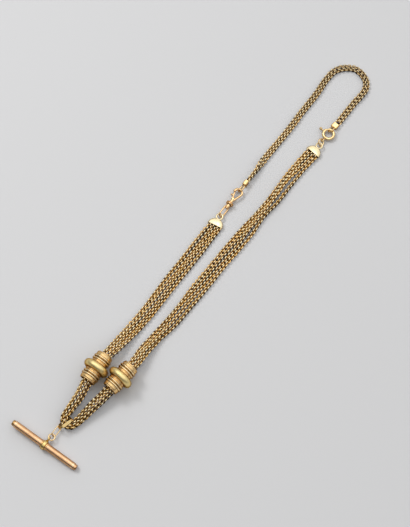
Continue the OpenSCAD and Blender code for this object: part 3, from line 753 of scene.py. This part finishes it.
def bar_gold(name, rose):
    """The T-bar: rose gold tube, yellow collar and bands, pale worn ends, painted shade on its end
    buttons.
    """
    make = GoldMaker(name, place(*BAR_MIDDLE), BAR_HEADING, BAR_LEAN)
    base = wear(make, rose, (0.26, 0.36))
    along = make.math("ABSOLUTE", make.axis("X"))
    bands = make.ramp(make.math("DIVIDE", along, BAR_REACH * MM),
                      [(mm / BAR_REACH, linear(*rgb)) for mm, rgb in BAR_BANDS])
    base = make.mix(make.math("LESS_THAN", along, BAR_BANDS_END * MM), base, bands)
    rim = make.math("MULTIPLY", make.math("GREATER_THAN", along, BAR_RIM_START * MM),
                    make.math("LESS_THAN", along, BAR_BUTTON_START * MM))
    base = make.mix(make.math("MULTIPLY", rim, 0.4), base, linear(255, 230, 194))
    # Painted shade: both end buttons are darkened, the far one more than the near one
    far = make.math("LESS_THAN", make.axis("X"), -BAR_BUTTON_START * MM)
    near = make.math("GREATER_THAN", make.axis("X"), BAR_BUTTON_START * MM)
    for button, share in ((far, 0.75), (near, 0.2)):
        base = make.mix(make.math("MULTIPLY", button, share), base, linear(176, 138, 76))
    make.colour(base)
    return make.material


# Operators


# Seeds of the links' sway and tone; each chain adds its own number
STRAND_SEED = 11
EXTENSION_SEED = 31


def body_of(node):
    """The name of the body that a CAD node belongs to."""
    return NODES[node]["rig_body"]


def finish_nodes(gold, *names):
    """Gives CAD nodes their gold, on every material slot."""
    for name in names:
        node = NODES[name]
        if not node.material_slots:
            node.data.materials.append(gold)
        for slot in node.material_slots:
            slot.material = gold


class WATCHCHAIN_OT_strands(bpy.types.Operator):
    """Roll the links of the four fine chains along their ribbon"""

    bl_idname = "watchchain.strands"
    bl_label = "Fine chains"

    def execute(self, context):
        sizes = context.scene.watch_chain_links
        colours = context.scene.watch_chain_golds
        gold = link_gold("Fine link gold", tuple(colours.links), tuple(colours.hollows), -0.06,
                         STRAND_FAR_SHADE)
        for k in range(4):
            points = strand_points(k)
            rolls = strand_rolls(k, len(points), sizes.roll_step)
            links = rolled_links(f"strand_links_{k + 1}", points, rolls, sizes,
                                 STRAND_SEED + k, gold)
            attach(links, body_of(f"strand_{k + 1}"))
            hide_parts(f"strand_{k + 1}")
        return {"FINISHED"}


class WATCHCHAIN_OT_extension(bpy.types.Operator):
    """Roll the links of the extension's two chains"""

    bl_idname = "watchchain.extension"
    bl_label = "Extension chain"

    def execute(self, context):
        sizes = context.scene.watch_chain_extension
        colours = context.scene.watch_chain_golds
        gold = link_gold("Extension link gold", tuple(colours.extension), tuple(colours.hollows),
                         -0.02, EXTENSION_FAR_SHADE)
        for number, side in ((1, -1), (2, 1)):
            points, rolls = extension_points(side, sizes.spacing / MM)
            links = rolled_links(f"extension_links_{number}", points, rolls, sizes,
                                 EXTENSION_SEED + number, gold)
            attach(links, body_of(f"extension_{number}"))
            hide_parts(f"extension_{number}")
        return {"FINISHED"}


class WATCHCHAIN_OT_bar(bpy.types.Operator):
    """Polish the T-bar, its small rings and the bail"""

    bl_idname = "watchchain.bar"
    bl_label = "T-bar and bail"

    def execute(self, context):
        colours = context.scene.watch_chain_golds
        finish_nodes(bar_gold("T-bar gold", tuple(colours.rose)), "t_bar")
        finish_nodes(handled_gold("Small ring gold", tuple(colours.yellow), (0.16, 0.3)),
                     "t_bar_ring", "oval_link", "jump_ring")
        finish_nodes(handled_gold("Bail gold", tuple(colours.bail), (0.24, 0.38)), "bail")
        return {"FINISHED"}


class WATCHCHAIN_OT_slides(bpy.types.Operator):
    """Finish the two turned slides in bands"""

    bl_idname = "watchchain.slides"
    bl_label = "Slides"

    def execute(self, context):
        green = tuple(context.scene.watch_chain_golds.green)
        for node, (name, middle, heading) in SLIDES.items():
            finish_nodes(slide_gold(name, place(*middle), heading, green), node)
        return {"FINISHED"}


class WATCHCHAIN_OT_caps(bpy.types.Operator):
    """Polish the end caps and the extension's box caps"""

    bl_idname = "watchchain.caps"
    bl_label = "End caps"

    def execute(self, context):
        colours = context.scene.watch_chain_golds
        finish_nodes(handled_gold("Cap gold", tuple(colours.pale), (0.2, 0.34)),
                     "end_cap_left", "end_cap_right")
        finish_nodes(handled_gold("Box cap gold", tuple(colours.box_caps), (0.22, 0.36)),
                     "chain_cap_a", "chain_cap_b")
        return {"FINISHED"}


class WATCHCHAIN_OT_clips(bpy.types.Operator):
    """Polish the dog clip and the bolt ring"""

    bl_idname = "watchchain.clips"
    bl_label = "Dog clip and bolt ring"

    def execute(self, context):
        colours = context.scene.watch_chain_golds
        finish_nodes(handled_gold("Clip gold", tuple(colours.clip), (0.2, 0.34)),
                     "clip_shackle", "clip_hook", "clip_lever")
        finish_nodes(handled_gold("Bolt ring gold", tuple(colours.bolt_ring), (0.17, 0.3)),
                     "bolt_ring", "bolt_trigger")
        return {"FINISHED"}


def lay_floor(colour):
    """A wide sheet of pale paper under the chain."""
    corners = [(x * FLOOR_HALF, y * FLOOR_HALF, 0) for x, y in ((-1, -1), (1, -1), (1, 1), (-1, 1))]
    sheet = bpy.data.meshes.new("floor")
    sheet.from_pydata(corners, [], [(0, 1, 2, 3)])
    paper = bpy.data.materials.new("Floor paper")
    paper.use_nodes = True
    shader = paper.node_tree.nodes["Principled BSDF"]
    shader.inputs["Base Color"].default_value = colour
    shader.inputs["Roughness"].default_value = 0.8
    sheet.materials.append(paper)
    floor = bpy.data.objects.new("floor", sheet)
    bpy.context.scene.collection.objects.link(floor)


def set_camera(target, elevation, distance):
    """The photo's own view."""
    back = Vector((0, -math.cos(elevation), math.sin(elevation)))
    lens = bpy.data.cameras.new("camera")
    lens.sensor_fit = "VERTICAL"
    lens.sensor_height = FILM_HEIGHT
    lens.lens = FILM_HEIGHT * FOCAL_LENGTH / PHOTO_HEIGHT
    lens.clip_start = 0.01
    camera = bpy.data.objects.new("camera", lens)
    camera.location = target + back * distance
    camera.rotation_euler = (math.pi / 2 - elevation, 0, 0)
    bpy.context.scene.collection.objects.link(camera)
    bpy.context.scene.camera = camera


def hang_key_light(target, power):
    """A soft light that only lights the floor, for shadows to the lower right.

    The golds mirror the broad ceiling instead.
    """
    lamp = bpy.data.lights.new("key_light", "AREA")
    lamp.shape = "RECTANGLE"
    lamp.size = KEY_WIDTH
    lamp.size_y = KEY_WIDTH
    lamp.energy = power
    light = bpy.data.objects.new("key_light", lamp)
    light.visible_glossy = False
    light.location = KEY_PLACE
    light.rotation_euler = (target - Vector(KEY_PLACE)).to_track_quat("-Z", "Y").to_euler()
    bpy.context.scene.collection.objects.link(light)


def glow(make, direction, middle, steps):
    """Brightness that falls off with the angle from a middle direction."""
    toward = make.node("ShaderNodeVectorMath", {"Vector": direction}, operation="DOT_PRODUCT")
    toward.inputs[1].default_value = Vector(middle).normalized()
    ramp = make.tree.nodes.new("ShaderNodeValToRGB")
    ramp.color_ramp.interpolation = "EASE"
    stops = ramp.color_ramp.elements
    while len(stops) < len(steps):
        stops.new(0.5)
    for stop, (position, level) in zip(stops, steps):
        stop.position = position
        stop.color = (level, level, level, 1)
    make.tree.links.new(toward.outputs["Value"], ramp.inputs[0])
    return ramp.outputs[0]


def light_studio(strength):
    """The studio's soft ceiling and its panels, which the golds mirror."""
    world = bpy.data.worlds.new("studio")
    world.use_nodes = True
    make = TreeMaker(world.node_tree)
    world.node_tree.nodes.clear()
    direction = make.node("ShaderNodeTexCoord").outputs["Generated"]
    total = glow(make, direction, CEILING_MIDDLE, CEILING)
    for middle, (start, full), level in PANELS:
        panel = glow(make, direction, middle, ((start, 0.0), (full, 1.0)))
        total = make.math("MULTIPLY_ADD", panel, level, total)
    light = make.node("ShaderNodeBackground", {"Color": total, "Strength": strength})
    make.node("ShaderNodeOutputWorld", {"Surface": light.outputs[0]})
    bpy.context.scene.world = world
    bpy.context.scene.view_settings.view_transform = "Standard"


class WATCHCHAIN_OT_stage(bpy.types.Operator):
    """Lay the pale floor, set the soft lights and the camera"""

    bl_idname = "watchchain.stage"
    bl_label = "Stage"

    def execute(self, context):
        settings = context.scene.watch_chain_stage
        target = place(*LOOK_AT)
        lay_floor(tuple(settings.floor))
        set_camera(target, settings.elevation, settings.distance)
        hang_key_light(target, settings.key_power)
        light_studio(settings.ceiling)
        return {"FINISHED"}


class WATCHCHAIN_PT_panel(bpy.types.Panel):
    """The watch chain's sizes, golds and steps"""

    bl_idname = "WATCHCHAIN_PT_panel"
    bl_label = "Watch chain"
    bl_space_type = "VIEW_3D"
    bl_region_type = "UI"
    bl_category = "Watch chain"

    def draw(self, context):
        for settings in SETTINGS:
            group = getattr(context.scene, settings)
            box = self.layout.box()
            box.label(text=type(group).__doc__)
            for name in group.__annotations__:
                box.prop(group, name)
        for operator in OPERATORS:
            self.layout.operator(operator.bl_idname)


SETTINGS = {
    "watch_chain_links": ChainSizes,
    "watch_chain_extension": ExtensionSizes,
    "watch_chain_golds": GoldColours,
    "watch_chain_stage": StageSettings,
}
OPERATORS = (
    WATCHCHAIN_OT_stage, WATCHCHAIN_OT_strands, WATCHCHAIN_OT_extension, WATCHCHAIN_OT_bar,
    WATCHCHAIN_OT_slides, WATCHCHAIN_OT_caps, WATCHCHAIN_OT_clips,
)


def register():
    for settings in SETTINGS.values():
        bpy.utils.register_class(settings)
    for piece in (*OPERATORS, WATCHCHAIN_PT_panel):
        bpy.utils.register_class(piece)
    for name, settings in SETTINGS.items():
        setattr(bpy.types.Scene, name, bpy.props.PointerProperty(type=settings))


def unregister():
    for name in SETTINGS:
        delattr(bpy.types.Scene, name)
    for piece in (WATCHCHAIN_PT_panel, *reversed(OPERATORS)):
        bpy.utils.unregister_class(piece)
    for settings in SETTINGS.values():
        bpy.utils.unregister_class(settings)


def main():
    register()
    bpy.ops.watchchain.stage()
    bpy.ops.watchchain.strands()
    bpy.ops.watchchain.extension()
    bpy.ops.watchchain.bar()
    bpy.ops.watchchain.slides()
    bpy.ops.watchchain.caps()
    bpy.ops.watchchain.clips()
    bpy.context.view_layer.update()


if __name__ == "__main__":
    main()
